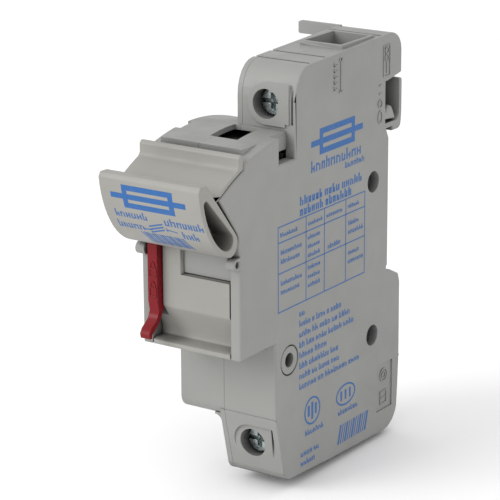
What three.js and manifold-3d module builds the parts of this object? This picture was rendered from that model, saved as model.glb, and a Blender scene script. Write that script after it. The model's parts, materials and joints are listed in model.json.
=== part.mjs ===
// Modular DIN-rail fuse holder, one and a half modules wide, with a 14 x 51 mm cartridge fuse.
// Millimetres. X runs along the rail, Y runs back towards the rail, Z is up.
// The origin is the middle of the flat seat that rests on a 35 mm rail.
import * as THREE from 'three';
import { mergeVertices } from 'three/addons/utils/BufferGeometryUtils.js';
import Module from 'manifold-3d';

const wasm = await Module();
wasm.setup();

// ---------------------------------------------------------------- driving dimensions
const WIDTH = 26.4;
const RAIL = 35;
const RAIL_FLANGE = 1.4;
const GAP = 0.3;

const RIGHT = WIDTH / 2;
const LEFT = -WIDTH / 2;
const PARTING = -0.9;
const PARTING_GAP = 0.06;

// Side walls of the nose and the chamber between them.
const SIDE_WALL = 2.6;
const CHAMBER = RIGHT - SIDE_WALL;

// The nose: front face, underside and the arc of its side walls about the carrier's pivot.
const NOSE_FRONT = -62.3;
const NOSE_BOTTOM = -22.2;
const PIVOT = { y: -42.8, z: -27.5 };
const SWING_RADIUS = 52.4;
const WALL_RADIUS_UNDER_CARRIER = 51.3;
const RIDGE = { front: -62.5, rear: -60.9 };
const ROOF_Z = 24.2;
const ROOF_FRONT = -57.4;
const ROOF_UNDERSIDE_RADIUS = 51.2;

// The body behind and below the nose.
const BODY_FRONT = -48.5;
const BODY_BOTTOM = -42.4;
const BODY_TOP_REAR = 20.2;
const REAR_BLOCK = 6;
const WALL = 1.5;

// The terminal blocks stand flush with the right side and are narrower than the body.
const BLOCK_LEFT = -2.2;
const BLOCK_WALL = 1.3;
const BLOCK_ROOF = 2.9;
const BLOCK_FRONT = -40.4;
const BLOCK_TOP = 40;
const BLOCK_BOTTOM = -58;
const BLOCK_REAR = 5.5;
const BLOCK_UNDERSIDE = 29.4;

// Terminals: the bottom one is the top one moved forward and turned over.
const SCREW_X = 5.5;
const TOP_SCREW_Z = 30.3;
const BOTTOM_SCREW_Z = -47.8;
const BOTTOM_TERMINAL_SHIFT = -6;
const SCREW_HOLE_RADIUS = 3.4;
const SCREW_HEAD_RADIUS = 3.1;
const SCREW_SHANK_RADIUS = 2.3;
const SCREW_TIP_Y = -19.9;
const SCREW_HEAD_Y = -37.6;
const WIRE_ENTRY = { x0: 1.1, x1: 10.9, y0: -18, y1: -5.5 };
const CAGE = { x0: -0.2, x1: 11.4, y0: -23.6, y1: -4.2, height: 10, wall: 1.2, nut: 3.2 };
const STRIP = { y0: -19.4, y1: -17.9, halfWidth: 3.6 };

// Fuse 14 x 51.
const FUSE_LENGTH = 51;
const FUSE_CAP_RADIUS = 7.15;
const FUSE_TUBE_RADIUS = 6.75;
const FUSE_BORE_RADIUS = 5.2;
const FUSE_CAP_LENGTH = 12.5;
const FUSE_Y = -36.5;
const FUSE_BOTTOM = -29.3;
const FUSE_TOP = FUSE_BOTTOM + FUSE_LENGTH;

// Carrier.
const CARRIER = CHAMBER - GAP;
const HANDLE_FRONT = -77.4;
const HANDLE_TOP = 20.4;

// Lock lever.
const LEVER = { x0: -10.25, x1: -7.7, front: -64.2, back: -60.6, pinY: -61.6, pinZ: 3.4, pinRadius: 0.9 };

// Rivet and pivot places on the side, as [y, z].
const RIVETS = { rivet_upper: [-7, 6], rivet_lower: [-6.9, -31.8] };
const RIVET_HEAD_RADIUS = 2.55;
const RIVET_SHANK_RADIUS = 1.9;
const RIVET_RECESS = 3;
const BUSH_RADIUS = 3.3;
const BUSH_HOLE_RADIUS = 1.7;

// ---------------------------------------------------------------- materials
function plastic(color, roughness) {
  return new THREE.MeshStandardMaterial({ color, roughness, metalness: 0 });
}

function metal(color, roughness) {
  return new THREE.MeshStandardMaterial({ color, roughness, metalness: 1 });
}

const GREY_PLASTIC = () => plastic(0xa6a6a2, 0.55);
const WARM_GREY_PLASTIC = () => plastic(0xb0aea4, 0.5);
const RED_PLASTIC = () => plastic(0xa8242c, 0.4);
const CLEAR_GREY_PLASTIC = () => plastic(0x9b9b97, 0.35);
const ZINC_STEEL = () => metal(0xaab2b4, 0.3);
const SPRING_STEEL = () => metal(0x9da1a3, 0.35);
const TINNED_COPPER = () => metal(0xc9c5b8, 0.3);
const SILVER_STRIP = () => metal(0xd4d4d0, 0.3);
const CERAMIC = () => plastic(0xe6e0d2, 0.6);
const QUARTZ_SAND = () => plastic(0xcbbf9f, 0.9);

// ---------------------------------------------------------------- solids
// Turns local (x, y, z) into world (Y, Z, X), so that a shape drawn as (y, z) is extruded along X.
const ALONG_X = new THREE.Matrix4().makeBasis(
  new THREE.Vector3(0, 1, 0), new THREE.Vector3(0, 0, 1), new THREE.Vector3(1, 0, 0));

function solid(geometry) {
  const bare = geometry.index ? geometry.toNonIndexed() : geometry;
  bare.deleteAttribute('normal');
  bare.deleteAttribute('uv');
  const merged = mergeVertices(bare, 1e-4);
  const vertProperties = new Float32Array(merged.attributes.position.array);
  const triVerts = new Uint32Array(merged.index.array);
  return new wasm.Manifold(new wasm.Mesh({ numProp: 3, vertProperties, triVerts }));
}

function box(x0, x1, y0, y1, z0, z1) {
  const geometry = new THREE.BoxGeometry(x1 - x0, y1 - y0, z1 - z0);
  geometry.translate((x0 + x1) / 2, (y0 + y1) / 2, (z0 + z1) / 2);
  return solid(geometry);
}

function extrudeX(shape, x0, x1, curveSegments = 10) {
  const geometry = new THREE.ExtrudeGeometry(shape, { depth: x1 - x0, bevelEnabled: false, curveSegments });
  geometry.applyMatrix4(ALONG_X);
  geometry.translate(x0, 0, 0);
  return solid(geometry);
}

function outline(points) {
  return new THREE.Shape(points.map(([y, z]) => new THREE.Vector2(y, z)));
}

function slab(points, x0, x1) {
  return extrudeX(outline(points), x0, x1);
}

// A straight round rod between two points.
function rod(radius, from, to, sides = 24) {
  const start = new THREE.Vector3(...from);
  const end = new THREE.Vector3(...to);
  const direction = end.clone().sub(start);
  const geometry = new THREE.CylinderGeometry(radius, radius, direction.length(), sides);
  const upright = new THREE.Vector3(0, 1, 0);
  const turn = new THREE.Quaternion().setFromUnitVectors(upright, direction.clone().normalize());
  geometry.applyQuaternion(turn);
  const middle = start.add(end).multiplyScalar(0.5);
  geometry.translate(middle.x, middle.y, middle.z);
  return solid(geometry);
}

// A round wire of the given radius along a list of points, joined by a smooth curve.
function wire(radius, points, steps, sides = 6) {
  const path = new THREE.CatmullRomCurve3(points.map((point) => new THREE.Vector3(...point)));
  const section = new THREE.Shape();
  section.absarc(0, 0, radius, 0, Math.PI * 2, false);
  const options = { steps, extrudePath: path, bevelEnabled: false, curveSegments: sides };
  return solid(new THREE.ExtrudeGeometry(section, options));
}

function joined(...solids) {
  return solids.reduce((whole, next) => whole.add(next));
}

function cutBy(body, ...tools) {
  return tools.reduce((rest, tool) => rest.subtract(tool), body);
}

function named(name, body, material) {
  const { vertProperties, triVerts } = body.getMesh();
  const geometry = new THREE.BufferGeometry();
  geometry.setAttribute('position', new THREE.BufferAttribute(vertProperties, 3));
  geometry.setIndex(new THREE.BufferAttribute(triVerts, 1));
  geometry.computeVertexNormals();
  const mesh = new THREE.Mesh(geometry, material);
  mesh.name = name;
  return mesh;
}

// Points on the circle of the given radius about the carrier's pivot, from one y to another.
function swingArc(radius, fromY, toY, steps) {
  const heightAt = (y) => PIVOT.z + Math.sqrt(radius ** 2 - (y - PIVOT.y) ** 2);
  return Array.from({ length: steps + 1 }, (_, step) => {
    const y = fromY + (toY - fromY) * step / steps;
    return [y, heightAt(y)];
  });
}

// Points round a corner centred at (cy, cz), from one angle to another in degrees.
function corner(cy, cz, radius, fromDegrees, toDegrees, steps = 5) {
  return Array.from({ length: steps + 1 }, (_, step) => {
    const angle = THREE.MathUtils.degToRad(fromDegrees + (toDegrees - fromDegrees) * step / steps);
    return [cy + radius * Math.cos(angle), cz + radius * Math.sin(angle)];
  });
}

// ---------------------------------------------------------------- housing
// The handle's lower end is a round lobe; the side walls are cut back round it.
const LOBE = { y: -66, z: 5.4, radius: 2.95 };
const HANDLE_REAR_TOP = { y: -73.4, z: 19.1 };

function sideOutline() {
  const lobeClearance = LOBE.radius + 0.4;
  return [
    [NOSE_FRONT, NOSE_BOTTOM],
    [NOSE_FRONT, 1.9],
    ...corner(LOBE.y, LOBE.z, lobeClearance, -20, 40),
    ...swingArc(WALL_RADIUS_UNDER_CARRIER, -69.9, RIDGE.rear + 0.4, 6),
    ...swingArc(SWING_RADIUS, RIDGE.rear + 0.4, -22, 18),
    [-22, BODY_TOP_REAR],
    [-1.6, BODY_TOP_REAR],
    [-1.6, RAIL / 2 + 0.4],
    [0, RAIL / 2 - 2.2],
    [0, -RAIL / 2 + 1.4],
    [-0.4, -RAIL / 2 + 1.2],
    [-0.4, -RAIL / 2 - 0.2],
    [1.8, -RAIL / 2 - 0.2],
    [5.2, -19.4],
    [5.9, -21.5],
    [REAR_BLOCK, -40],
    [REAR_BLOCK - 0.2, BODY_BOTTOM],
    ...corner(BODY_FRONT + 3, BODY_BOTTOM + 3, 3, 270, 180),
    [BODY_FRONT, NOSE_BOTTOM],
  ];
}

function topBlockOutline() {
  const crown = Array.from({ length: 7 }, (_, step) => {
    const angle = Math.PI - step / 6 * Math.PI / 2;
    return [BLOCK_FRONT + 6 + 6 * Math.cos(angle), 31.5 + 7.4 * Math.sin(angle)];
  });
  return [
    [BLOCK_FRONT, BODY_TOP_REAR - 1],
    ...crown,
    ...corner(BLOCK_REAR - 4.5, BLOCK_TOP - 4.5, 4.5, 90, 0),
    [BLOCK_REAR, BLOCK_UNDERSIDE + 0.5],
    [-0.6, BLOCK_UNDERSIDE - 0.5],
    [-1.6, BLOCK_UNDERSIDE - 0.5],
    [-1.6, BODY_TOP_REAR - 1],
  ];
}

// The bottom block's front leans back as it goes down.
const BOTTOM_FACE = { topZ: -40.4, bottomY: -45.1, bottomZ: -54.8 };
BOTTOM_FACE.slope = Math.atan2(BOTTOM_FACE.bottomY - BODY_FRONT, BOTTOM_FACE.topZ - BOTTOM_FACE.bottomZ);
BOTTOM_FACE.middleY = BODY_FRONT + (BOTTOM_FACE.topZ - BOTTOM_SCREW_Z) * Math.tan(BOTTOM_FACE.slope);

function bottomBlockOutline() {
  return [
    [BODY_FRONT, BOTTOM_FACE.topZ],
    [BOTTOM_FACE.bottomY, BOTTOM_FACE.bottomZ],
    ...corner(-42.3, -53.55, 3, 193, 267),
    [-25, -57.4],
    [-1, BLOCK_BOTTOM],
    ...corner(-1, BLOCK_BOTTOM + 6.4, 6.4, 285, 345),
    [5.6, -48],
    [REAR_BLOCK, BOTTOM_FACE.topZ],
  ];
}

// The hook that hangs behind the rail's upper flange, and the small stop inside it.
function railHook() {
  const lip = slab([
    [-2, RAIL / 2 + 0.2],
    [RAIL_FLANGE + 0.1, RAIL / 2 + 0.2],
    [RAIL_FLANGE + 0.3, RAIL / 2 - 1],
    ...corner(BLOCK_REAR - 1.5, RAIL / 2 + 0.5, 1.5, 270, 360),
    [BLOCK_REAR, BLOCK_UNDERSIDE - 0.8],
    [BLOCK_REAR - 1.1, BLOCK_UNDERSIDE - 0.8],
    ...corner(BLOCK_REAR - 2.6, RAIL / 2 + 2.9, 1.5, 0, -90),
    [-2, RAIL / 2 + 1.4],
  ], BLOCK_LEFT, RIGHT);
  const stop = slab([
    [-2, 19.8], [3, 19.3], [2, 21], [1.1, 22.6], [-0.3, 23.1], [-2, 21.6],
  ], RIGHT - 4, RIGHT);
  return lip.add(stop);
}

// The flat round a screw hole: round on one side, straight on the other. Its face is at faceY.
function screwFlat(faceY, z, tilt, thickness) {
  const radius = 4.8;
  const sideX = 11.6;
  const shape = new THREE.Shape();
  shape.moveTo(sideX, -radius);
  shape.lineTo(sideX, radius);
  shape.lineTo(SCREW_X, radius);
  shape.absarc(SCREW_X, 0, radius, Math.PI / 2, Math.PI * 1.5, false);
  const settings = { depth: Math.abs(thickness), bevelEnabled: false, curveSegments: 12 };
  const geometry = new THREE.ExtrudeGeometry(shape, settings);
  geometry.rotateX(Math.PI / 2);
  geometry.translate(0, Math.max(thickness, 0), 0);
  geometry.rotateX(tilt);
  geometry.translate(0, faceY, z);
  return solid(geometry);
}

// Everything a terminal needs cut out of the housing. The bottom one is mirrored about z.
function terminalCavity(screwZ, shiftY, outerZ, floorZ) {
  const up = Math.sign(outerZ - screwZ);
  const [low, high] = [floorZ, outerZ - up * BLOCK_ROOF].sort((a, b) => a - b);
  const [mouthLow, mouthHigh] = [screwZ, outerZ + up * 2].sort((a, b) => a - b);
  const chamber = box(PARTING, RIGHT - BLOCK_WALL, -33 + shiftY, -3.8 + shiftY, low, high);
  const mouth = box(WIRE_ENTRY.x0, WIRE_ENTRY.x1,
    WIRE_ENTRY.y0 + shiftY, WIRE_ENTRY.y1 + shiftY, mouthLow, mouthHigh);
  const screwHole = rod(SCREW_HOLE_RADIUS,
    [SCREW_X, -50 + shiftY, screwZ], [SCREW_X, -30 + shiftY, screwZ], 32);
  return joined(chamber, mouth, screwHole);
}

function entryRim(shiftY, low, high) {
  const rim = 0.8;
  return box(WIRE_ENTRY.x0 - rim, WIRE_ENTRY.x1 + rim,
    WIRE_ENTRY.y0 + shiftY - rim, WIRE_ENTRY.y1 + shiftY + rim, low, high);
}

function carrierChamber() {
  const rear = FUSE_Y + FUSE_CAP_RADIUS + 2.3;
  const inside = BODY_FRONT + 1;
  const main = slab([
    [-85, NOSE_BOTTOM - 1.5],
    [inside, NOSE_BOTTOM - 1.5],
    [inside, -33],
    [rear, -33],
    ...swingArc(ROOF_UNDERSIDE_RADIUS, rear, ROOF_FRONT, 14),
    [ROOF_FRONT, 30],
    [-85, 30],
  ], -CHAMBER, CHAMBER);
  // The opening in the front wall is deeper in the middle, where the fuse swings through it.
  const fuseWay = FUSE_CAP_RADIUS + 0.5;
  return main.add(box(-fuseWay, fuseWay, BODY_FRONT - 1, inside + 1, NOSE_BOTTOM - 3, NOSE_BOTTOM));
}

function middleCavity() {
  const hollow = box(-RIGHT + WALL, RIGHT - WALL, -25.5, -2.2, -36, 17);
  const bosses = Object.values(RIVETS).map(([y, z]) => rod(3.6, [LEFT, y, z], [RIGHT, y, z]));
  return cutBy(hollow, ...bosses);
}

// The slide for the rail clip, with the peg that its spring stands on.
const CLIP = { x0: 0.9, x1: 10.1, y0: 1.7, y1: 4.4, top: -RAIL / 2 + 1.2, bottom: -58.8 };
const CLIP_WINDOW = { x0: 3.7, x1: 7.3, z0: -54, z1: -34 };
const CLIP_PEG_TOP = -46.4;

function clipSlide() {
  const slot = box(CLIP.x0 - GAP, CLIP.x1 + GAP,
    CLIP.y0 - GAP, CLIP.y1 + GAP, BLOCK_BOTTOM - 4, CLIP.top + 1);
  const peg = box(CLIP_WINDOW.x0 + GAP, CLIP_WINDOW.x1 - GAP, CLIP.y0 - 1, CLIP.y1 + 1,
    CLIP_PEG_TOP - 1.2, CLIP_PEG_TOP);
  return slot.subtract(peg);
}

function rivetHoles() {
  return joined(...Object.values(RIVETS).flatMap(([y, z]) => [
    rod(RIVET_SHANK_RADIUS + 0.05, [LEFT - 1, y, z], [RIGHT + 1, y, z], 24),
    rod(RIVET_HEAD_RADIUS, [LEFT - 1, y, z], [LEFT + RIVET_RECESS, y, z], 24),
    rod(RIVET_HEAD_RADIUS, [RIGHT - RIVET_RECESS, y, z], [RIGHT + 1, y, z], 24),
  ]));
}

function sealEar(x0, x1) {
  const [y, z, radius] = [NOSE_FRONT - 1, 0.15, 1.4];
  const ear = slab([
    [NOSE_FRONT + 0.5, z + radius],
    ...corner(y, z, radius, 90, 270, 8),
    [NOSE_FRONT + 0.5, z - radius],
  ], x0, x1);
  return ear.subtract(rod(0.8, [x0 - 1, y, z], [x1 + 1, y, z], 12));
}

const TOP_GROOVES = [{ y: -33.3, floor: 37.9 }, { y: -26.7, floor: 38.1 }, { y: -2.7, floor: 39 }];

// Fills the inner corner between the body's underside and the bottom block's left side.
function bodyFillet() {
  const radius = 2;
  const [front, rear] = [BODY_FRONT + 1, REAR_BLOCK - 1];
  const [x, z] = [BLOCK_LEFT - radius, BODY_BOTTOM - radius];
  const filling = box(x, BLOCK_LEFT + 0.5, front, rear, z, BODY_BOTTOM + 0.5);
  return filling.subtract(rod(radius, [x, front - 1, z], [x, rear + 1, z]));
}

function housing() {
  const body = slab(sideOutline(), LEFT, RIGHT);
  const topBlock = slab(topBlockOutline(), BLOCK_LEFT, RIGHT);
  const bottomBlock = slab(bottomBlockOutline(), BLOCK_LEFT, RIGHT);
  const roof = box(-CHAMBER - 0.5, CHAMBER, ROOF_FRONT, BLOCK_FRONT + 1, ROOF_Z - 3, ROOF_Z);
  const rearTab = box(LEFT, BLOCK_LEFT + 0.5, 1.6, 2.8, BLOCK_TOP - 3, BLOCK_TOP);
  const raised = joined(body, topBlock, bottomBlock, roof, rearTab, railHook(), bodyFillet(),
    screwFlat(BLOCK_FRONT - 0.4, TOP_SCREW_Z, 0, 2),
    entryRim(0, BLOCK_TOP - 1.5, BLOCK_TOP + 0.3),
    entryRim(BOTTOM_TERMINAL_SHIFT, BLOCK_BOTTOM - 0.4, BLOCK_BOTTOM + 1.5));

  const notchDepth = 5.4;
  const hollow = cutBy(raised,
    carrierChamber(),
    middleCavity(),
    terminalCavity(TOP_SCREW_Z, 0, BLOCK_TOP, 22.5),
    terminalCavity(BOTTOM_SCREW_Z, BOTTOM_TERMINAL_SHIFT, BLOCK_BOTTOM, -40.2),
    // Ways for the contact strips between the fuse chamber and the terminals.
    box(1.5, 9.5, -32, -16.5, 19.3, 24),
    box(1.5, 9.5, -32, -22.5, -42, -32),
    // Side notches and the probe hole in the roof.
    box(LEFT - 1, -CHAMBER - 0.8, -49.5, -44.5, 23.5, 26),
    box(CHAMBER, RIGHT + 1, -46.8, BLOCK_FRONT, ROOF_Z - notchDepth, ROOF_Z + 2),
    box(-2.3, 4.9, -50.9, -41.3, 20, 26),
    // Grooves across the top of the block.
    ...TOP_GROOVES.map(({ y, floor }) => box(BLOCK_LEFT - 1, 12.2, y - 0.5, y + 0.5, floor, BLOCK_TOP + 2)),
    // The lower screw flat leans less than the face, so it is sunk above and runs out below.
    screwFlat(BOTTOM_FACE.middleY + 0.25, BOTTOM_SCREW_Z, BOTTOM_FACE.slope / 2, -4),
    box(10.9, 11.7, BODY_FRONT - 1, BOTTOM_FACE.middleY + 0.7, -51.4, -43.3),
    box(12, 12.5, BLOCK_FRONT - 1, BLOCK_FRONT + 0.5, 26.2, 35.2),
    // The sunk label field in the side.
    box(RIGHT - 0.4, RIGHT + 1, -4.5, 2.7, -52.3, -40.5),
    rod(BUSH_RADIUS + 0.1, [LEFT - 1, PIVOT.y, PIVOT.z], [RIGHT + 1, PIVOT.y, PIVOT.z], 32),
    rod(BUSH_RADIUS + 0.35, [LEFT - 1, PIVOT.y, PIVOT.z], [LEFT + 0.6, PIVOT.y, PIVOT.z], 32),
    rod(BUSH_RADIUS + 0.35, [RIGHT - 0.6, PIVOT.y, PIVOT.z], [RIGHT + 1, PIVOT.y, PIVOT.z], 32),
    clipSlide(),
    rivetHoles());

  const roofRib = box(CHAMBER - 1.2, CHAMBER + 0.1, -46.8, BLOCK_FRONT + 0.5, 20.7, ROOF_Z - 0.1);
  const wallEars = [sealEar(CHAMBER + 0.3, RIGHT), sealEar(LEFT, -CHAMBER - 0.3)];
  return joined(hollow, roofRib, ...wallEars);
}

function housingHalves() {
  const whole = housing();
  const far = 100;
  const rightHalf = whole.subtract(box(-far, PARTING + PARTING_GAP / 2, -far, far, -far, far));
  const leftHalf = whole.subtract(box(PARTING - PARTING_GAP / 2, far, -far, far, -far, far));
  return [
    named('housing_right', rightHalf, GREY_PLASTIC()),
    named('housing_left', leftHalf, GREY_PLASTIC()),
  ];
}

function rivets() {
  return Object.entries(RIVETS).map(([name, [y, z]]) => {
    const end = RIGHT - RIVET_RECESS + 0.7;
    const body = joined(
      rod(RIVET_SHANK_RADIUS, [-end, y, z], [end, y, z]),
      rod(RIVET_HEAD_RADIUS - 0.1, [-end, y, z], [0.6 - end, y, z]),
      rod(RIVET_HEAD_RADIUS - 0.1, [end - 0.6, y, z], [end, y, z]));
    return named(name, body, ZINC_STEEL());
  });
}

// ---------------------------------------------------------------- rail clip
function railClip() {
  const blade = slab([
    [CLIP.y0, CLIP.bottom],
    [CLIP.y0, CLIP.top - 0.3],
    [CLIP.y0 + 0.4, CLIP.top],
    [CLIP.y1, CLIP.top - 1.6],
    [CLIP.y1, CLIP.bottom],
  ], CLIP.x0, CLIP.x1);
  const window = box(CLIP_WINDOW.x0, CLIP_WINDOW.x1,
    CLIP.y0 - 1, CLIP.y1 + 1, CLIP_WINDOW.z0, CLIP_WINDOW.z1);
  return named('rail_clip', blade.subtract(window), GREY_PLASTIC());
}

function helix(radius, turns, height, wireRadius, place) {
  const stepsPerTurn = 10;
  const count = turns * stepsPerTurn;
  const points = Array.from({ length: count + 1 }, (_, step) => {
    const angle = step / stepsPerTurn * Math.PI * 2;
    return place(radius * Math.cos(angle), radius * Math.sin(angle), height * step / count);
  });
  return wire(wireRadius, points, count);
}

function railClipSpring() {
  const wireRadius = 0.25;
  const low = CLIP_PEG_TOP + wireRadius + 0.1;
  const height = CLIP_WINDOW.z1 - wireRadius - 0.1 - low;
  const middleX = (CLIP_WINDOW.x0 + CLIP_WINDOW.x1) / 2;
  const middleY = (CLIP.y0 + CLIP.y1) / 2;
  const coil = helix(1.1, 7, height, wireRadius, (u, v, w) => [middleX + u, middleY + v, low + w]);
  return named('rail_clip_spring', coil, SPRING_STEEL());
}

// ---------------------------------------------------------------- contacts and terminals
const JAW = { inside: FUSE_CAP_RADIUS + 0.2, thickness: 0.8, front: FUSE_Y - 5, back: FUSE_Y + 7.4 };

function jaw(low, high) {
  const outside = JAW.inside + JAW.thickness;
  const leaves = [-1, 1].map((side) => {
    const [x0, x1] = [side * JAW.inside, side * outside].sort((a, b) => a - b);
    return box(x0, x1, JAW.front, JAW.back + JAW.thickness, low + 0.8, high - 0.8);
  });
  return joined(box(-outside, outside, JAW.back, JAW.back + JAW.thickness, low, high), ...leaves);
}

function jawSpring(name, low, high) {
  const inside = JAW.inside + JAW.thickness + 0.05;
  const outside = inside + 0.5;
  const back = JAW.back + JAW.thickness + 0.05;
  const arms = [-1, 1].map((side) => {
    const [x0, x1] = [side * inside, side * outside].sort((a, b) => a - b);
    return box(x0, x1, JAW.front + 3, back + 0.5, low, high);
  });
  return named(name, joined(box(-outside, outside, back, back + 0.5, low, high), ...arms), SPRING_STEEL());
}

// A flat strip of the terminal's width, drawn as its outline in (y, z).
function strip(points) {
  return slab(points, SCREW_X - STRIP.halfWidth, SCREW_X + STRIP.halfWidth);
}

function topContact() {
  const lead = strip([
    [JAW.back, 19.8],
    [STRIP.y1, 19.8],
    [STRIP.y1, 35.5],
    [STRIP.y0, 35.5],
    [STRIP.y0, 21.3],
    [JAW.back, 21.3],
  ]);
  return named('top_contact', jaw(10.5, 21).add(lead), TINNED_COPPER());
}

function bottomContact() {
  const y0 = STRIP.y0 + BOTTOM_TERMINAL_SHIFT;
  const y1 = STRIP.y1 + BOTTOM_TERMINAL_SHIFT;
  const lead = strip([
    [JAW.back, -27],
    [JAW.back, -39.2],
    [y0, -39.2],
    [y0, -53],
    [y1, -53],
    [y1, -37.7],
    [JAW.back + 1.5, -37.7],
    [JAW.back + 1.5, -32.5],
    [JAW.back + JAW.thickness, -31.6],
    [JAW.back + JAW.thickness, -27],
  ]);
  return named('bottom_contact', jaw(-28.8, -18.6).add(lead), TINNED_COPPER());
}

function clampCage(name, screwZ, shiftY) {
  const half = CAGE.height / 2;
  const y0 = CAGE.y0 + shiftY;
  const y1 = CAGE.y1 + shiftY;
  const block = box(CAGE.x0, CAGE.x1, y0, y1, screwZ - half, screwZ + half);
  const inside = box(CAGE.x0 + CAGE.wall, CAGE.x1 - CAGE.wall, y0 + CAGE.nut, y1 - CAGE.wall,
    screwZ - half - 1, screwZ + half + 1);
  const thread = rod(SCREW_SHANK_RADIUS + 0.1,
    [SCREW_X, y0 - 1, screwZ], [SCREW_X, y0 + CAGE.nut + 1, screwZ]);
  return named(name, cutBy(block, inside, thread), ZINC_STEEL());
}

// A screw head with a serrated rim, drawn as (x, z) and extruded back from the given y.
function serratedHead(screwZ, headY, depth) {
  const teeth = 26;
  const toothDepth = 0.18;
  const corners = Array.from({ length: teeth * 2 }, (_, index) => {
    const radius = SCREW_HEAD_RADIUS - (index % 2) * toothDepth;
    const angle = index / teeth * Math.PI;
    return new THREE.Vector2(SCREW_X + radius * Math.cos(angle), screwZ + radius * Math.sin(angle));
  });
  const geometry = new THREE.ExtrudeGeometry(new THREE.Shape(corners), { depth, bevelEnabled: false });
  geometry.rotateX(Math.PI / 2);
  geometry.translate(0, headY + depth, 0);
  return solid(geometry);
}

function terminalScrew(name, screwZ, shiftY) {
  const headY = SCREW_HEAD_Y + shiftY;
  const headDepth = 2.8;
  const head = serratedHead(screwZ, headY, headDepth);
  const shank = rod(SCREW_SHANK_RADIUS,
    [SCREW_X, headY + headDepth - 0.5, screwZ], [SCREW_X, SCREW_TIP_Y + shiftY, screwZ]);
  const slot = box(SCREW_X - 4, SCREW_X + 4, headY - 1, headY + 1, screwZ - 0.45, screwZ + 0.45);
  const cross = box(SCREW_X - 0.6, SCREW_X + 0.6, headY - 1, headY + 1.7, screwZ - 1.9, screwZ + 1.9);
  return named(name, cutBy(head.add(shank), slot, cross), ZINC_STEEL());
}

// ---------------------------------------------------------------- carrier
const PANEL_BACK = -59.7;
const CHEEK = CARRIER - 1.1;
const TROUGH = { y0: -44.9, y1: -44.1 };
const HUB_RADIUS = 3.9;
const WALL_CLEARANCE_RADIUS = 7.4;

function handleOutline() {
  const grip = new THREE.CubicBezierCurve(
    new THREE.Vector2(LOBE.y, LOBE.z - LOBE.radius), new THREE.Vector2(-72, 4),
    new THREE.Vector2(-76.6, 11.5), new THREE.Vector2(HANDLE_FRONT, HANDLE_TOP - 1));
  return [
    ...grip.getPoints(12).map((point) => [point.x, point.y]),
    [HANDLE_FRONT + 0.7, HANDLE_TOP],
    [HANDLE_REAR_TOP.y - 0.9, HANDLE_TOP - 0.1],
    [HANDLE_REAR_TOP.y, HANDLE_REAR_TOP.z],
    ...corner(LOBE.y, LOBE.z, LOBE.radius, 40, -84, 8),
  ];
}

// The grip's side pocket: a long teardrop, sunk into each end of the handle.
function gripPocket(x0, x1) {
  const front = new THREE.CubicBezierCurve(
    new THREE.Vector2(-67.05, 4.23), new THREE.Vector2(-70.9, 4.95),
    new THREE.Vector2(-74.7, 11.2), new THREE.Vector2(-75.5, 16.2));
  return slab([
    ...corner(-74.7, 16.2, 0.8, 180, 40, 5),
    ...corner(-66.7, 6.2, 2, 40, -100, 6),
    ...front.getPoints(10).slice(1, -1).map((point) => [point.x, point.y]),
  ], x0, x1);
}

// The finger recess: a hollow that starts gently and ends above the lip.
function fingerRecessOutline() {
  const hollow = new THREE.CubicBezierCurve(
    new THREE.Vector2(-59.2, -20.7), new THREE.Vector2(-58, -18.8),
    new THREE.Vector2(-60.4, -15.2), new THREE.Vector2(NOSE_FRONT, -12.6));
  return [
    [NOSE_FRONT, -21.2],
    [-61.4, -20.8],
    ...hollow.getPoints(10).map((point) => [point.x, point.y]),
  ];
}

function panelOutline() {
  return [
    [NOSE_FRONT, NOSE_BOTTOM],
    ...fingerRecessOutline(),
    [NOSE_FRONT, 1.2],
    [LOBE.y, LOBE.z - 1],
    [HANDLE_REAR_TOP.y + 0.2, HANDLE_REAR_TOP.z - 1.2],
    ...swingArc(SWING_RADIUS, -70.4, NOSE_FRONT, 8),
    [RIDGE.rear, 20.5],
    [PANEL_BACK, 18.4],
    [PANEL_BACK, -13.2],
    [-57.3, -17.2],
    [-57.3, NOSE_BOTTOM + 1.4],
    [-49.3, NOSE_BOTTOM + 1.4],
    [-49.3, NOSE_BOTTOM],
  ];
}

// The full-width top of the carrier, over the side walls: a thin curved plate that ends in a ridge.
function topPlateOutline() {
  return [
    ...swingArc(SWING_RADIUS, -71.4, RIDGE.front - 0.6, 8),
    [RIDGE.front, 21.6],
    [RIDGE.front, 23.6],
    [RIDGE.front + 0.6, ROOF_Z],
    [RIDGE.rear - 0.4, ROOF_Z],
    [RIDGE.rear, 23.8],
    ...swingArc(WALL_RADIUS_UNDER_CARRIER + GAP, RIDGE.rear, -70.7, 8),
  ];
}

const COVER = { x0: -2.7, z0: -4.9, z1: 0.9 };

function leverSlot() {
  const x0 = -CARRIER - 1;
  const x1 = LEVER.x1 + 0.2;
  const upperBack = LEVER.back + 0.7;
  return joined(
    box(x0, x1, -70, LEVER.back + 0.3, NOSE_BOTTOM + 1.5, 0),
    slab([[-70, -1], [-70, 1.8], [-64.9, 4.2], [-64.6, 6], [upperBack, 6], [upperBack, -1]], x0, x1));
}

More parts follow.
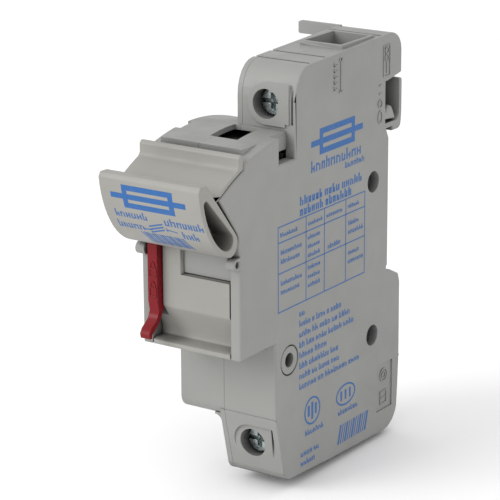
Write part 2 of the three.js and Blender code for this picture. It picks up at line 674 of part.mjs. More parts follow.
function carrierHandle() {
  const moulding = joined(
    slab(handleOutline(), LEFT, RIGHT),
    slab(panelOutline(), -CARRIER, CARRIER),
    slab(topPlateOutline(), LEFT, RIGHT));
  const pocketDepth = 5.5;
  const body = cutBy(moulding,
    gripPocket(RIGHT - pocketDepth, RIGHT + 1),
    gripPocket(LEFT - 1, LEFT + pocketDepth),
    rod(0.7, [-9, -69.5, 8], [9, -69.5, 8], 12),
    leverSlot(),
    box(COVER.x0, CARRIER + 1, -63, -60.6, COVER.z0, COVER.z1),
    box(COVER.x0 + 1, CARRIER - 1, -63, -58, COVER.z0 + 1, COVER.z1 - 1),
    // Bore for the lever's pin and the pocket for its spring.
    rod(LEVER.pinRadius + 0.05, [-12, LEVER.pinY, LEVER.pinZ], [-3.9, LEVER.pinY, LEVER.pinZ], 16),
    box(LEVER.x1, -5, LEVER.pinY - 2.2, LEVER.pinY + 2.2, LEVER.pinZ - 2.2, LEVER.pinZ + 2.2));
  return named('carrier_handle', body, WARM_GREY_PLASTIC());
}

function blankCover() {
  const plate = box(COVER.x0 + 0.3, CARRIER - 0.1, -61.3, -60.65, COVER.z0 + 0.35, COVER.z1 - 0.15);
  return named('blank_cover', plate, CLEAR_GREY_PLASTIC());
}

function lockLever() {
  const body = slab([
    [LEVER.back, 4.8], [-62.6, 4.8], [LEVER.front + 0.2, 3.4], [LEVER.front, 1],
    [LEVER.front, -11.6], [-63.7, -14], [-64.5, -15.7], [-66.8, -17.3], [-67.5, -18.4], [-67.2, -19.5],
    [-66.4, -19.5], [-66.3, -18.6], [-64.3, -17.2], [-63, -15.8], [-62.2, -14.2], [LEVER.back, -12],
  ], LEVER.x0, LEVER.x1);
  const bore = rod(LEVER.pinRadius + 0.08,
    [LEVER.x0 - 1, LEVER.pinY, LEVER.pinZ], [LEVER.x1 + 1, LEVER.pinY, LEVER.pinZ], 16);
  return named('lock_lever', body.subtract(bore), RED_PLASTIC());
}

function leverPin() {
  const pin = rod(LEVER.pinRadius,
    [LEVER.x0 + 0.1, LEVER.pinY, LEVER.pinZ], [-4, LEVER.pinY, LEVER.pinZ], 16);
  return named('lever_pin', pin, ZINC_STEEL());
}

function leverSpring() {
  const coil = helix(1.35, 3, 1.7, 0.2, (u, v, w) => [-7.2 + w, LEVER.pinY + u, LEVER.pinZ + v]);
  return named('lever_spring', coil, SPRING_STEEL());
}

// The cradle that holds the fuse and turns on two trunnions in the side walls.
// Each cheek is a hook round the front wall's upper edge, which it clears as the carrier opens.
function cheek(x0, x1) {
  const bottom = PIVOT.z + WALL_CLEARANCE_RADIUS;
  return slab([
    ...corner(PIVOT.y, PIVOT.z, HUB_RADIUS, 310, 80, 14),
    [PIVOT.y + 0.7, bottom],
    [-56.9, bottom],
    [-56.9, -17],
    [PANEL_BACK + 0.3, -12.8],
    [PANEL_BACK + 0.3, 12],
    ...swingArc(45.8, -56, -33, 6),
    [-33, 6],
    [FUSE_Y + 8.6, 6],
    [FUSE_Y + 8.6, -6],
    [-31.5, -8],
    [-31.5, -20],
    [-35, -27],
  ], x0, x1);
}

function carrierCradle() {
  const trunnionHole = 3;
  const across = CHEEK + 0.1;
  const sides = [cheek(CHEEK, CARRIER), cheek(-CARRIER, -CHEEK)];
  const trough = box(-across, across, TROUGH.y0, TROUGH.y1, PIVOT.z + WALL_CLEARANCE_RADIUS, 14);
  const crossBar = box(-across, across, PIVOT.y - 1.5, PIVOT.y + 0.6, -30.4, FUSE_BOTTOM - 0.1);
  const floor = box(-6.9, 6.9, PIVOT.y, FUSE_Y + 5.5, -30.4, FUSE_BOTTOM - 0.1);
  const rearBand = box(-across, across, FUSE_Y + 7.8, FUSE_Y + 8.6, -6, 6);
  const shelf = box(-across, across, -56.9, TROUGH.y1, 12, 13.2);
  const trunnions = [-1, 1].map((side) => {
    const onPivot = (x) => [x, PIVOT.y, PIVOT.z];
    const outer = side * (RIGHT - 0.1);
    const stub = rod(BUSH_RADIUS, onPivot(side * CHEEK), onPivot(outer), 32);
    const hole = rod(BUSH_HOLE_RADIUS, onPivot(outer + side), onPivot(outer - side * trunnionHole), 20);
    return stub.subtract(hole);
  });
  const body = joined(...sides, trough, crossBar, floor, rearBand, shelf, ...trunnions);
  return named('carrier_cradle', body, GREY_PLASTIC());
}

// ---------------------------------------------------------------- fuse
const FUSE_SIDES = 32;

function fuseRod(radius, z0, z1, sides = FUSE_SIDES) {
  return rod(radius, [0, FUSE_Y, z0], [0, FUSE_Y, z1], sides);
}

function fuseCap(name, end, inward) {
  const rim = end + inward * FUSE_CAP_LENGTH;
  const cup = fuseRod(FUSE_CAP_RADIUS, end, rim).subtract(
    fuseRod(FUSE_TUBE_RADIUS, end + inward * 0.8, rim + inward));
  return named(name, cup, TINNED_COPPER());
}

function fuse() {
  const inset = 0.85;
  const tube = fuseRod(FUSE_TUBE_RADIUS - 0.05, FUSE_BOTTOM + inset, FUSE_TOP - inset).subtract(
    fuseRod(FUSE_BORE_RADIUS, FUSE_BOTTOM, FUSE_TOP));
  const slot = box(-2.7, 2.7, FUSE_Y - 0.3, FUSE_Y + 0.3, FUSE_BOTTOM, FUSE_TOP);
  const filling = fuseRod(FUSE_BORE_RADIUS - 0.05, FUSE_BOTTOM + inset + 0.2, FUSE_TOP - inset - 0.2);
  const ribbon = box(-2.4, 2.4,
    FUSE_Y - 0.12, FUSE_Y + 0.12, FUSE_BOTTOM + inset + 0.1, FUSE_TOP - inset - 0.1);
  const necks = [-2, -1, 0, 1, 2].flatMap((row) => [-2.4, 0, 2.4].map((x) => {
    const z = FUSE_BOTTOM + FUSE_LENGTH / 2 + row * 7;
    return rod(0.7, [x, FUSE_Y - 1, z], [x, FUSE_Y + 1, z], 10);
  }));
  return [
    named('fuse_tube', tube, CERAMIC()),
    fuseCap('fuse_cap_bottom', FUSE_BOTTOM, 1),
    fuseCap('fuse_cap_top', FUSE_TOP, -1),
    named('fuse_element', cutBy(ribbon, ...necks), SILVER_STRIP()),
    named('fuse_sand', filling.subtract(slot), QUARTZ_SAND()),
  ];
}

// ---------------------------------------------------------------- the whole holder
const group = new THREE.Group();
group.add(
  ...housingHalves(),
  ...rivets(),
  railClip(),
  railClipSpring(),
  topContact(),
  bottomContact(),
  jawSpring('top_jaw_spring', 12.5, 19),
  jawSpring('bottom_jaw_spring', -27, -20.5),
  clampCage('top_clamp_cage', TOP_SCREW_Z, 0),
  clampCage('bottom_clamp_cage', BOTTOM_SCREW_Z, BOTTOM_TERMINAL_SHIFT),
  terminalScrew('top_terminal_screw', TOP_SCREW_Z, 0),
  terminalScrew('bottom_terminal_screw', BOTTOM_SCREW_Z, BOTTOM_TERMINAL_SHIFT),
  carrierHandle(),
  carrierCradle(),
  blankCover(),
  lockLever(),
  leverPin(),
  leverSpring(),
  ...fuse(),
);

export default group;
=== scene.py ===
"""Looks of a modular fuse holder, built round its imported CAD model. Metres, in the row frame.

+X is the side that carries the print, -Y is the front, +Z is up, and the origin is on the rail seat.
"""

import json
import math
import random

import bmesh
import bpy
from mathutils import Euler, Matrix, Vector
from mathutils.bvhtree import BVHTree

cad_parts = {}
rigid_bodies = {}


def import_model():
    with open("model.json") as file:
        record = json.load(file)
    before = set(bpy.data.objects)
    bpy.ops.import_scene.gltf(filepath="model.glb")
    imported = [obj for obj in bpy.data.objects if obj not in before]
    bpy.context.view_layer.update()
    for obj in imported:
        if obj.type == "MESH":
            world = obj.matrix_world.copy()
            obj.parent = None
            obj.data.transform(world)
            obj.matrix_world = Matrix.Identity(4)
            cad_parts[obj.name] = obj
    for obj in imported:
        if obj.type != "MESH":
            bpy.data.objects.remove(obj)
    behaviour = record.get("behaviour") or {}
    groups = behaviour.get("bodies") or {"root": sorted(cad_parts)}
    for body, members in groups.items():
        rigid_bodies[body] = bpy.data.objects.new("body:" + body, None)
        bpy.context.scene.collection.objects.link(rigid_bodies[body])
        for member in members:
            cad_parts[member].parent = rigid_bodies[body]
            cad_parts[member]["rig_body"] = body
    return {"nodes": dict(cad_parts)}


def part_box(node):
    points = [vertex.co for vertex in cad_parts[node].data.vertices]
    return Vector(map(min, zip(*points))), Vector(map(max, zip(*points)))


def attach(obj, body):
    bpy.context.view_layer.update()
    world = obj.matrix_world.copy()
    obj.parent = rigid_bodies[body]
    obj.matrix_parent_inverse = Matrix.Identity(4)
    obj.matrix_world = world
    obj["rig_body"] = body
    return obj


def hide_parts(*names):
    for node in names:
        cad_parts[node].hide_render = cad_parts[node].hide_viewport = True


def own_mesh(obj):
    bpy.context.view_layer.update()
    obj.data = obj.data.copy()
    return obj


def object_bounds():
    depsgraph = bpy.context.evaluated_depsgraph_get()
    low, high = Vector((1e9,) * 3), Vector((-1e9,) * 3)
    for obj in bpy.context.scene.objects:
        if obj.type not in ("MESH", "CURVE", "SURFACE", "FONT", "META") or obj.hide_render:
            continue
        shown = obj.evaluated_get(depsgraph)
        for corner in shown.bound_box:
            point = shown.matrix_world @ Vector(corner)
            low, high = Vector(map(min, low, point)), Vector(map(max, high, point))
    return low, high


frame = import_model()
cad_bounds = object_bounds()

MM = 0.001
INK_LIFT = 0.03 * MM
MARK_LIFT = 0.2 * MM
LOCK_LIFT = 0.12 * MM


def corner_low(node):
    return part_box(node)[0]


def corner_high(node):
    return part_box(node)[1]


SIDE_X = corner_high("housing_right").x
SEAM_X = corner_low("housing_right").x
RIVETS = [(corner_low(rivet) + corner_high(rivet)) / 2 for rivet in ("rivet_upper", "rivet_lower")]


# ---------------------------------------------------------------- materials
class Nodes:
    """A short way to build a node material."""

    def __init__(self, name):
        self.material = bpy.data.materials.new(name)
        self.material.use_nodes = True
        self.tree = self.material.node_tree
        self.tree.nodes.clear()
        self.output = self.add("ShaderNodeOutputMaterial")
        self.place = self.add("ShaderNodeTexCoord").outputs["Object"]

    def add(self, kind, **values):
        node = self.tree.nodes.new(kind)
        for key, value in values.items():
            setattr(node, key, value)
        return node

    def link(self, source, target):
        self.tree.links.new(source, target)

    def noise(self, scale, detail=3.0, stretch=None):
        texture = self.add("ShaderNodeTexNoise")
        texture.inputs["Scale"].default_value = scale
        texture.inputs["Detail"].default_value = detail
        if stretch is None:
            self.link(self.place, texture.inputs["Vector"])
            return texture.outputs["Fac"]
        mapping = self.add("ShaderNodeMapping")
        mapping.inputs["Scale"].default_value = stretch
        self.link(self.place, mapping.inputs["Vector"])
        self.link(mapping.outputs["Vector"], texture.inputs["Vector"])
        return texture.outputs["Fac"]

    def spread(self, value, low, high, to_low, to_high):
        ramp = self.add("ShaderNodeMapRange")
        ramp.inputs["From Min"].default_value = low
        ramp.inputs["From Max"].default_value = high
        ramp.inputs["To Min"].default_value = to_low
        ramp.inputs["To Max"].default_value = to_high
        self.link(value, ramp.inputs["Value"])
        return ramp.outputs["Result"]

    def mix(self, factor, first, second):
        """A mix of two colours; each is a colour or the output of another node."""
        mix = self.add("ShaderNodeMix", data_type="RGBA")
        self.link(factor, mix.inputs["Factor"])
        for socket, value in (("A", first), ("B", second)):
            target = next(s for s in mix.inputs if s.name == socket and s.type == "RGBA")
            if isinstance(value, tuple):
                target.default_value = (*value, 1)
            else:
                self.link(value, target)
        return next(s for s in mix.outputs if s.type == "RGBA")

    def rounded_normal(self, radius):
        bevel = self.add("ShaderNodeBevel", samples=6)
        bevel.inputs["Radius"].default_value = radius
        return bevel.outputs["Normal"]

    def edge_mask(self, radius):
        """1 on the edges and 0 on flat faces."""
        geometry = self.add("ShaderNodeNewGeometry")
        dot = self.add("ShaderNodeVectorMath", operation="DOT_PRODUCT")
        self.link(self.rounded_normal(radius), dot.inputs[0])
        self.link(geometry.outputs["Normal"], dot.inputs[1])
        return self.spread(dot.outputs["Value"], 0.99, 0.8, 0.0, 1.0)

    def hollow_shade_mask(self, reach):
        """0 on open faces and 1 deep inside holes and slots, where shade is painted into the colour."""
        occlusion = self.add("ShaderNodeAmbientOcclusion", samples=8)
        occlusion.inputs["Distance"].default_value = reach
        return self.spread(occlusion.outputs["AO"], 0.55, 0.14, 0.0, 1.0)

    def bump(self, height, strength, distance, under=None):
        bump = self.add("ShaderNodeBump")
        bump.inputs["Strength"].default_value = strength
        bump.inputs["Distance"].default_value = distance
        self.link(height, bump.inputs["Height"])
        if under is not None:
            self.link(under, bump.inputs["Normal"])
        return bump.outputs["Normal"]

    def surface(self, color, roughness, normal, metallic=0.0, specular=0.5):
        shader = self.add("ShaderNodeBsdfPrincipled")
        shader.inputs["Metallic"].default_value = metallic
        shader.inputs["Specular IOR Level"].default_value = specular
        self.link(color, shader.inputs["Base Color"])
        self.link(roughness, shader.inputs["Roughness"])
        self.link(normal, shader.inputs["Normal"])
        self.link(shader.outputs["BSDF"], self.output.inputs["Surface"])
        return self.material


def moulded_plastic(name, color, rough=(0.42, 0.62), grain=0.35, edge_radius=0.25 * MM, specular=0.4):
    """A matte moulding: faint mottling, fine grain, a painted highlight on the edges and painted shade in
    the hollows.
    """
    nodes = Nodes(name)
    darker = tuple(channel * 0.93 for channel in color)
    # Painted highlight: the edges of the moulding are lightened in its colour.
    edge_highlight = tuple(min(1.0, channel * 1.18 + 0.02) for channel in color)
    mottled = nodes.mix(nodes.spread(nodes.noise(45), 0.35, 0.65, 0, 1), darker, color)
    edge_lit = nodes.mix(nodes.spread(nodes.edge_mask(edge_radius), 0, 1, 0, 0.45), mottled, edge_highlight)
    # Painted shade: the colour is taken nearly to black deep in holes and slots.
    hollow_shade = tuple(channel * 0.12 for channel in color)
    tone = nodes.mix(nodes.hollow_shade_mask(9 * MM), edge_lit, hollow_shade)
    roughness = nodes.spread(nodes.noise(160, detail=5), 0.3, 0.7, *rough)
    fine = nodes.bump(nodes.noise(5200, detail=2), grain, 0.02 * MM, nodes.rounded_normal(edge_radius))
    normal = nodes.bump(nodes.noise(260, detail=2), 0.12, 0.05 * MM, fine)
    return nodes.surface(tone, roughness, normal, specular=specular)


def plated_metal(name, color, rough=(0.18, 0.42), brushed=(1, 1, 1), cloudy=0.72):
    """Plated or drawn metal with cloudy plating and fine handling marks."""
    nodes = Nodes(name)
    darker = tuple(channel * cloudy for channel in color)
    cloud = nodes.spread(nodes.noise(700, detail=6), 0.35, 0.65, 0, 1)
    tone = nodes.mix(cloud, darker, color)
    roughness = nodes.spread(nodes.noise(1500, detail=4), 0.3, 0.7, *rough)
    marks = nodes.noise(1800, detail=4, stretch=brushed)
    normal = nodes.bump(marks, 0.25, 0.02 * MM, nodes.rounded_normal(0.12 * MM))
    return nodes.surface(tone, roughness, normal, metallic=1.0)


def printed_ink(name, color):
    """Pad-printed ink, a little thin in places."""
    nodes = Nodes(name)
    thin = tuple(0.8 * channel + 0.04 for channel in color)
    coverage = nodes.spread(nodes.noise(1600, detail=5), 0.52, 0.72, 0, 0.55)
    tone = nodes.mix(coverage, color, thin)
    roughness = nodes.spread(nodes.noise(900), 0.3, 0.7, 0.38, 0.55)
    normal = nodes.bump(nodes.noise(5200, detail=2), 0.3, 0.02 * MM)
    return nodes.surface(tone, roughness, normal)


def grainy(name, color, scale, depth):
    """Ceramic or packed sand."""
    nodes = Nodes(name)
    darker = tuple(channel * 0.7 for channel in color)
    grains = nodes.noise(scale, detail=6)
    tone = nodes.mix(nodes.spread(grains, 0.35, 0.6, 0, 1), darker, color)
    roughness = nodes.spread(grains, 0.3, 0.7, 0.6, 0.9)
    return nodes.surface(tone, roughness, nodes.bump(grains, 0.6, depth))


GREY = moulded_plastic("grey_moulding", (0.25, 0.25, 0.24), edge_radius=0.1 * MM)
WARM_GREY = moulded_plastic("warm_grey_moulding", (0.268, 0.262, 0.242))
COVER_GREY = moulded_plastic("cover_moulding", (0.255, 0.255, 0.245), rough=(0.3, 0.45), grain=0.15)
RED = moulded_plastic("red_moulding", (0.17, 0.004, 0.008), rough=(0.3, 0.48), grain=0.2, specular=0.2)
ZINC = plated_metal("zinc_plate", (0.42, 0.47, 0.47))
SPRING = plated_metal("spring_wire", (0.50, 0.50, 0.52), brushed=(1, 1, 6))
TIN = plated_metal("tin_plate", (0.40, 0.39, 0.375), rough=(0.38, 0.5), brushed=(1, 1, 0.1), cloudy=0.94)
SILVER = plated_metal("silver_strip", (0.85, 0.84, 0.82), brushed=(1, 1, 0.1))
CERAMIC = grainy("ceramic", (0.80, 0.77, 0.68), 2500, 0.02 * MM)
SAND = grainy("quartz_sand", (0.62, 0.52, 0.36), 6000, 0.1 * MM)
BLUE_INK = printed_ink("blue_ink", (0.004, 0.088, 0.29))


# ---------------------------------------------------------------- shapes taken from the CAD
SHARP = math.radians(34)
SOFTENING = 0.1 * MM
GRIP_ROUNDING = 0.25 * MM
RIM = 0.5 * MM
# Corners closer than this to a plane count as lying in it.
IN_PLANE = 0.02 * MM
# The rim stays sharp beside walls thinner than this, on edges shorter than this, and this near a rivet.
THIN_WALL = 1.5 * MM
SHORT_EDGE = 0.25 * MM
RIVET_ROOM = 4 * MM


def cad_mesh(node):
    """The CAD node's mesh as a bmesh in the row frame, with its flat faces whole again."""
    source = frame["nodes"][node]
    mesh = bmesh.new()
    mesh.from_mesh(source.data)
    mesh.transform(source.matrix_world)
    bmesh.ops.remove_doubles(mesh, verts=mesh.verts, dist=0.002 * MM)
    bmesh.ops.dissolve_limit(mesh, angle_limit=math.radians(0.6), verts=mesh.verts, edges=mesh.edges)
    return mesh


def object_from(mesh, name, material, body):
    data = bpy.data.meshes.new(name)
    mesh.to_mesh(data)
    mesh.free()
    data.materials.append(material)
    made = bpy.data.objects.new(name, data)
    bpy.context.scene.collection.objects.link(made)
    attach(made, body)
    return made


def round_off(mesh, width, segments, find):
    """Rounds the sharp outward edges among those that find(mesh) gives."""
    edges = [
        edge for edge in find(mesh)
        if len(edge.link_faces) == 2 and edge.calc_face_angle_signed(0) > SHARP
    ]
    bmesh.ops.bevel(
        mesh, geom=edges, offset=width, offset_type="OFFSET", segments=segments,
        profile=0.5, affect="EDGES", clamp_overlap=False, miter_outer="ARC")


def shade(made):
    made.data.shade_smooth()
    made.data.set_sharp_from_angle(angle=SHARP)
    weighted = made.modifiers.new("weighted_normals", "WEIGHTED_NORMAL")
    weighted.keep_sharp = True
    weighted.weight = 80


def thickness_in_x(face):
    places = [corner.co.x for corner in face.verts]
    return max(places) - min(places)


def all_edges(mesh):
    return list(mesh.edges)


def edges_off_the_seam(mesh):
    return [
        edge for edge in mesh.edges
        if any(abs(corner.co.x - SEAM_X) > IN_PLANE for corner in edge.verts)
    ]


def is_outer(face):
    """True for the flat outer face of a housing."""
    return all(abs(corner.co.x) > SIDE_X - IN_PLANE for corner in face.verts)


def rim_edges(mesh):
    """The outline of a housing's outer face, except beside thin walls, rivets and short edges."""
    tree = BVHTree.FromBMesh(mesh)
    found = []
    for edge in mesh.edges:
        outer = [face for face in edge.link_faces if is_outer(face)]
        if len(outer) != 1 or max(thickness_in_x(face) for face in edge.link_faces) < THIN_WALL:
            continue
        loop = next(loop for loop in edge.link_loops if loop.face == outer[0])
        run = loop.link_loop_next.vert.co - loop.vert.co
        middle = loop.vert.co + run / 2
        if run.length < SHORT_EDGE or any((middle - rivet).yz.length < RIVET_ROOM for rivet in RIVETS):
            continue
        inward = outer[0].normal.cross(run).normalized()
        out = outer[0].normal * MM
        hits = [tree.ray_cast(middle + inward * RIM * share + out, -out)[3] for share in (1, 1.5, 2, 2.6)]
        if all(distance is not None and abs(distance - MM) < 0.05 * MM for distance in hits):
            found.append(edge)
    return found


def softened(node, finish, rules):
    """Stands a copy of a CAD node in its place, rounded rule by rule and kept between the two sides."""
    mesh = cad_mesh(node)
    for width, segments, find in rules:
        round_off(mesh, width, segments, find)
    for corner in mesh.verts:
        corner.co.x = max(-SIDE_X, min(SIDE_X, corner.co.x))
    made = object_from(mesh, node + "_look", finish, frame["nodes"][node]["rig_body"])
    shade(made)
    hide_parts(node)
    return made


def end_edges(mesh):
    """The outlines of the handle's two end faces, with their grip pockets."""
    return [
        edge for edge in mesh.edges
        if all(abs(corner.co.x) > SIDE_X - IN_PLANE for corner in edge.verts)
    ]


RIGHT_RULES = ((RIM, 4, rim_edges), (SOFTENING, 2, edges_off_the_seam))
LEFT_RULES = ((RIM, 4, rim_edges),)
HANDLE_RULES = ((GRIP_ROUNDING, 3, end_edges),)
MOULDED_RULES = ((SOFTENING, 2, all_edges),)
METAL_RULES = ((0.06 * MM, 1, all_edges),)
ROUND_RULES = ()


# ---------------------------------------------------------------- drawings
class Drawing:
    """Flat shapes drawn in millimetres: the first number runs along the page, the second up it."""

    def __init__(self, seed=1):
        self.mesh = bmesh.new()
        self.random = random.Random(seed)

    def shape(self, points):
        self.mesh.faces.new([self.mesh.verts.new((along * MM, up * MM, 0)) for along, up in points])

    def bar(self, left, bottom, right, top):
        self.shape([(left, bottom), (right, bottom), (right, top), (left, top)])

    def stroke(self, start, end, weight):
        run = Vector(end) - Vector(start)
        side = Vector((-run.y, run.x)).normalized() * weight / 2
        corners = (Vector(start) - side, Vector(end) - side, Vector(end) + side, Vector(start) + side)
        self.shape([(corner.x, corner.y) for corner in corners])

    def arc(self, centre, radii, weight, turn_from=0, turn_to=360, steps=36):
        """Part of a ring; radii are its outer half-width and half-height."""
        def at(step, inset):
            turn = math.radians(turn_from + (turn_to - turn_from) * step / steps)
            across = centre[0] + (radii[0] - inset) * math.cos(turn)
            return across, centre[1] + (radii[1] - inset) * math.sin(turn)
        for step in range(steps):
            self.shape([at(step, weight), at(step, 0), at(step + 1, 0), at(step + 1, weight)])

    def box(self, left, bottom, right, top, weight):
        self.bar(left, bottom, right, bottom + weight)
        self.bar(left, top - weight, right, top)
        self.bar(left, bottom + weight, left + weight, top - weight)
        self.bar(right - weight, bottom + weight, right, top - weight)

    def sign(self, left, bottom, width, height, weight):
        """One letter-sized sign: two ticks with a loose dash between them. It spells nothing."""
        tall = self.random.choice((0.7, 0.7, 1.0)) * height
        short = self.random.choice((0.55, 0.7)) * height
        dash = bottom + self.random.choice((0, 0.25, 0.5)) * height
        gap = 0.3 * weight
        self.bar(left, bottom, left + weight, bottom + tall)
        self.bar(left + width - weight, bottom, left + width, bottom + short)
        self.bar(left + weight + gap, dash, left + width - weight - gap, dash + weight)

    def word(self, left, bottom, height, signs, weight=0.2):
        """A row of signs; returns where it ends. The weight is a share of the height."""
        for _count in range(signs):
            width = self.random.uniform(0.5, 0.68) * height
            self.sign(left, bottom, width, height, weight * height)
            left += width + 0.2 * height
        return left

    def line(self, left, bottom, height, words, weight=0.2):
        for signs in words:
            left = self.word(left, bottom, height, signs, weight) + 0.35 * height

    def fuse_symbol(self, left, bottom, width, height, weight):
        """The drawing-office symbol of a fuse: a box with the conductor through it."""
        middle = bottom + height / 2
        lead = 0.16 * width
        self.box(left + lead, bottom, left + width - lead, bottom + height, weight)
        self.bar(left, middle - weight / 2, left + lead, middle + weight / 2)
        inner = left + lead + weight
        self.bar(inner, middle - weight / 2, left + width - lead - weight, middle + weight / 2)
        self.bar(left + width - lead, middle - weight / 2, left + width, middle + weight / 2)

    def slices(self, step):
        """Cuts the shapes into level slices, so that they can follow a curved surface."""
        levels = [corner.co.y for corner in self.mesh.verts]
        level = min(levels) + step
        while level < max(levels):
            parts = [*self.mesh.verts, *self.mesh.edges, *self.mesh.faces]
            bmesh.ops.bisect_plane(self.mesh, geom=parts, plane_co=(0, level, 0), plane_no=(0, 1, 0))
            level += step


FACING_SIDE = (Vector((0, 1, 0)), Vector((0, 0, 1)), Vector((1, 0, 0)))
FACING_FRONT = (Vector((1, 0, 0)), Vector((0, 0, 1)), Vector((0, -1, 0)))
# Far enough out, in metres, to start clear of the whole holder.
CLEAR_OF_ALL = 0.2


def lay_on(node, drawing, name, finish, facing, height):
    """Lays a drawing on a CAD node's surface and raises it by height."""
    along, up, out = facing
    surface = cad_mesh(node)
    tree = BVHTree.FromBMesh(surface)
    surface.free()
    mesh = drawing.mesh
    bmesh.ops.remove_doubles(mesh, verts=mesh.verts, dist=0.001 * MM)
    for corner in mesh.verts:
        above = along * corner.co.x + up * corner.co.y + out * CLEAR_OF_ALL
        corner.co = tree.ray_cast(above, -out)[0]
    raised = bmesh.ops.extrude_face_region(mesh, geom=list(mesh.faces))["geom"]
    for corner in raised:
        if isinstance(corner, bmesh.types.BMVert):
            place, normal, _face, _distance = tree.find_nearest(corner.co)
            corner.co = place + normal * height
    bmesh.ops.recalc_face_normals(mesh, faces=mesh.faces)
    return object_from(mesh, name, finish, frame["nodes"][node]["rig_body"])


# ---------------------------------------------------------------- printed and moulded marks
def side_heading():
    drawing = Drawing(seed=3)
    drawing.fuse_symbol(-34, 17.6, 22, 6, 1.35)
    drawing.word(-34, 14.1, 2.7, 10, weight=0.17)
    drawing.word(-19.6, 12.1, 1.5, 7)
    drawing.line(-38.6, 7.6, 2.1, (6, 4, 5), weight=0.24)
    drawing.line(-38.6, 5.2, 2.1, (6, 7), weight=0.24)
    return drawing


def side_table():
    """The wiring table: a ruled grid with a few lines of signs in each cell."""
    left, columns, right = -47.6, (-36.2, -28.5, -19.3), -10.7
    top, rows, bottom = 4.8, (0.9, -6.2), -15.2
    rule = 0.26
    drawing = Drawing(seed=5)
    drawing.box(left, bottom, right, top, rule)
    for column in columns:
        drawing.bar(column, bottom + rule, column + rule, top - rule)
    for row in rows:
        drawing.bar(left + rule, row, right - rule, row + rule)
    for start, signs in ((left, 8), (columns[0], 7), (columns[1], 8), (columns[2], 6)):
        drawing.word(start + 1.0, 2.2, 1.1, signs)
    for row in rows:
        for step in range(3):
            drawing.word(columns[0] + 0.9, row - 1.9 - 2.1 * step, 1.1, 6)
        drawing.word(left + 1.2, row - 2.8, 1.2, 9)
        drawing.word(left + 1.2, row - 4.9, 1.2, 8)
        drawing.word(columns[2] + 1.2, row - 2.8, 1.2, 5)
        drawing.word(columns[2] + 1.2, row - 4.9, 1.2, 7)
    drawing.word(columns[1] + 1.6, rows[1] + 0.9, 1.2, 6)
    return drawing


def side_notes():
    """The lines of small print under the table."""
    first_line, spacing, left = -18.3, 2.52, -38.8
    lines = (
        (2,), (4, 1, 3, 1, 4), (4, 2, 4, 2, 4), (2, 3, 4, 5, 4),
        (5, 4), (3, 7, 3), (4, 2, 4, 3), (6, 2, 8, 4))
    drawing = Drawing(seed=8)
    for index, words in enumerate(lines):
        drawing.line(left, first_line - spacing * index, 1.55, words)
    return drawing


def side_badges():
    """Round and oval badges with plain bars inside, a row of slanted stripes and two short lines."""
    drawing = Drawing(seed=11)
    drawing.arc((-33.3, -42.5), (3.4, 3.4), 0.45)
    drawing.bar(-35.2, -43.6, -34.4, -41.0)
    drawing.bar(-33.7, -44.6, -32.9, -40.4)
    drawing.bar(-32.2, -43.6, -31.4, -41.0)
    drawing.arc((-18.7, -43), (4.3, 2.7), 0.45)
    for step in (-1, 0, 1):
        drawing.bar(-19.1 + 1.9 * step, -44.2, -18.4 + 1.9 * step, -41.8)
    drawing.word(-36.3, -48.0, 1.4, 7)
    drawing.word(-22.0, -47.6, 1.4, 8)
    drawing.line(-38.2, -52.6, 1.5, (4, 2))
    drawing.line(-38.2, -54.9, 1.5, (5,))
    stripes = 13
    for index in range(stripes):
        foot = -22 + 13 * index / stripes
        drawing.stroke((foot, -54.8), (foot + 1.3, -50.2), 0.35 if index % 3 else 0.65)
    return drawing


def handle_front():
    """The print on the handle: a fuse symbol, short rows of signs and slanted stripes."""
    drawing = Drawing(seed=14)
    drawing.fuse_symbol(-10.4, 13.0, 19.6, 5.4, 1.25)
    drawing.word(-10.4, 10.5, 1.8, 6, weight=0.17)
    drawing.word(-10.8, 7.7, 1.8, 5, weight=0.17)
    drawing.word(2.4, 10.1, 1.9, 7, weight=0.17)
    drawing.word(6.1, 7.3, 1.9, 3, weight=0.17)
    drawing.stroke((-4.4, 8.2), (-1.9, 8.2), 0.28)
    for step in (-1, 0, 1):
        drawing.stroke((-2.4, 8.3 + 0.75 * step), (1.6, 9.5 + 0.75 * step), 0.34)
    drawing.stroke((2.3, 9.0), (5.0, 8.6), 0.2)
    drawing.stroke((2.2, 9.4), (2.4, 8.5), 0.2)
    stripes = 17
    for index in range(stripes):
        foot = -5.4 + 11.5 * index / stripes
        drawing.stroke((foot, 7.2), (foot + 1.2, 4.2), (0.2, 0.32, 0.5)[index % 3])
    drawing.slices(0.6 * MM)
    return drawing


def strip_gauge():
    """Raised marks on the side of the upper block: the stripping length and two small signs."""
    drawing = Drawing(seed=17)
    drawing.bar(-21.9, 30.4, -21.5, 38)
    drawing.bar(-22.5, 37.6, -20.9, 38)
    drawing.bar(-22.5, 30.2, -20.9, 30.6)
    for step in range(5):
        foot = 36.6 - 1.35 * step
        drawing.bar(-24.7, foot, -23.1, foot + 0.25)
        drawing.bar(-24.7, foot, -24.4, foot + 0.8)
    drawing.arc((-1.6, 34.6), (0.9, 0.9), 0.25)
    drawing.arc((-1.6, 36.4), (0.9, 0.9), 0.25)
    drawing.bar(-1.75, 31.0, -1.45, 33.7)
    drawing.arc((-4.4, 24.2), (1.0, 1.0), 0.25)
    drawing.arc((-4.4, 21.0), (1.0, 1.6), 0.25)
    drawing.bar(-4.9, 26.4, -3.9, 26.7)
    drawing.bar(-4.9, 28.4, -3.9, 28.7)
    drawing.box(-3.1, 30.2, -0.1, 37.6, 0.25)
    return drawing


def field_marks():
    """Raised marks in the sunk field at the lower rear of the side."""
    drawing = Drawing(seed=19)
    drawing.arc((-0.9, -43.6), (1.7, 1.7), 0.3)
    drawing.arc((-0.9, -43.6), (0.9, 0.9), 0.25)
    drawing.box(-2.4, -51.0, 0.6, -47.6, 0.3)
    drawing.bar(-1.9, -49.5, 0.1, -49.2)
    return drawing


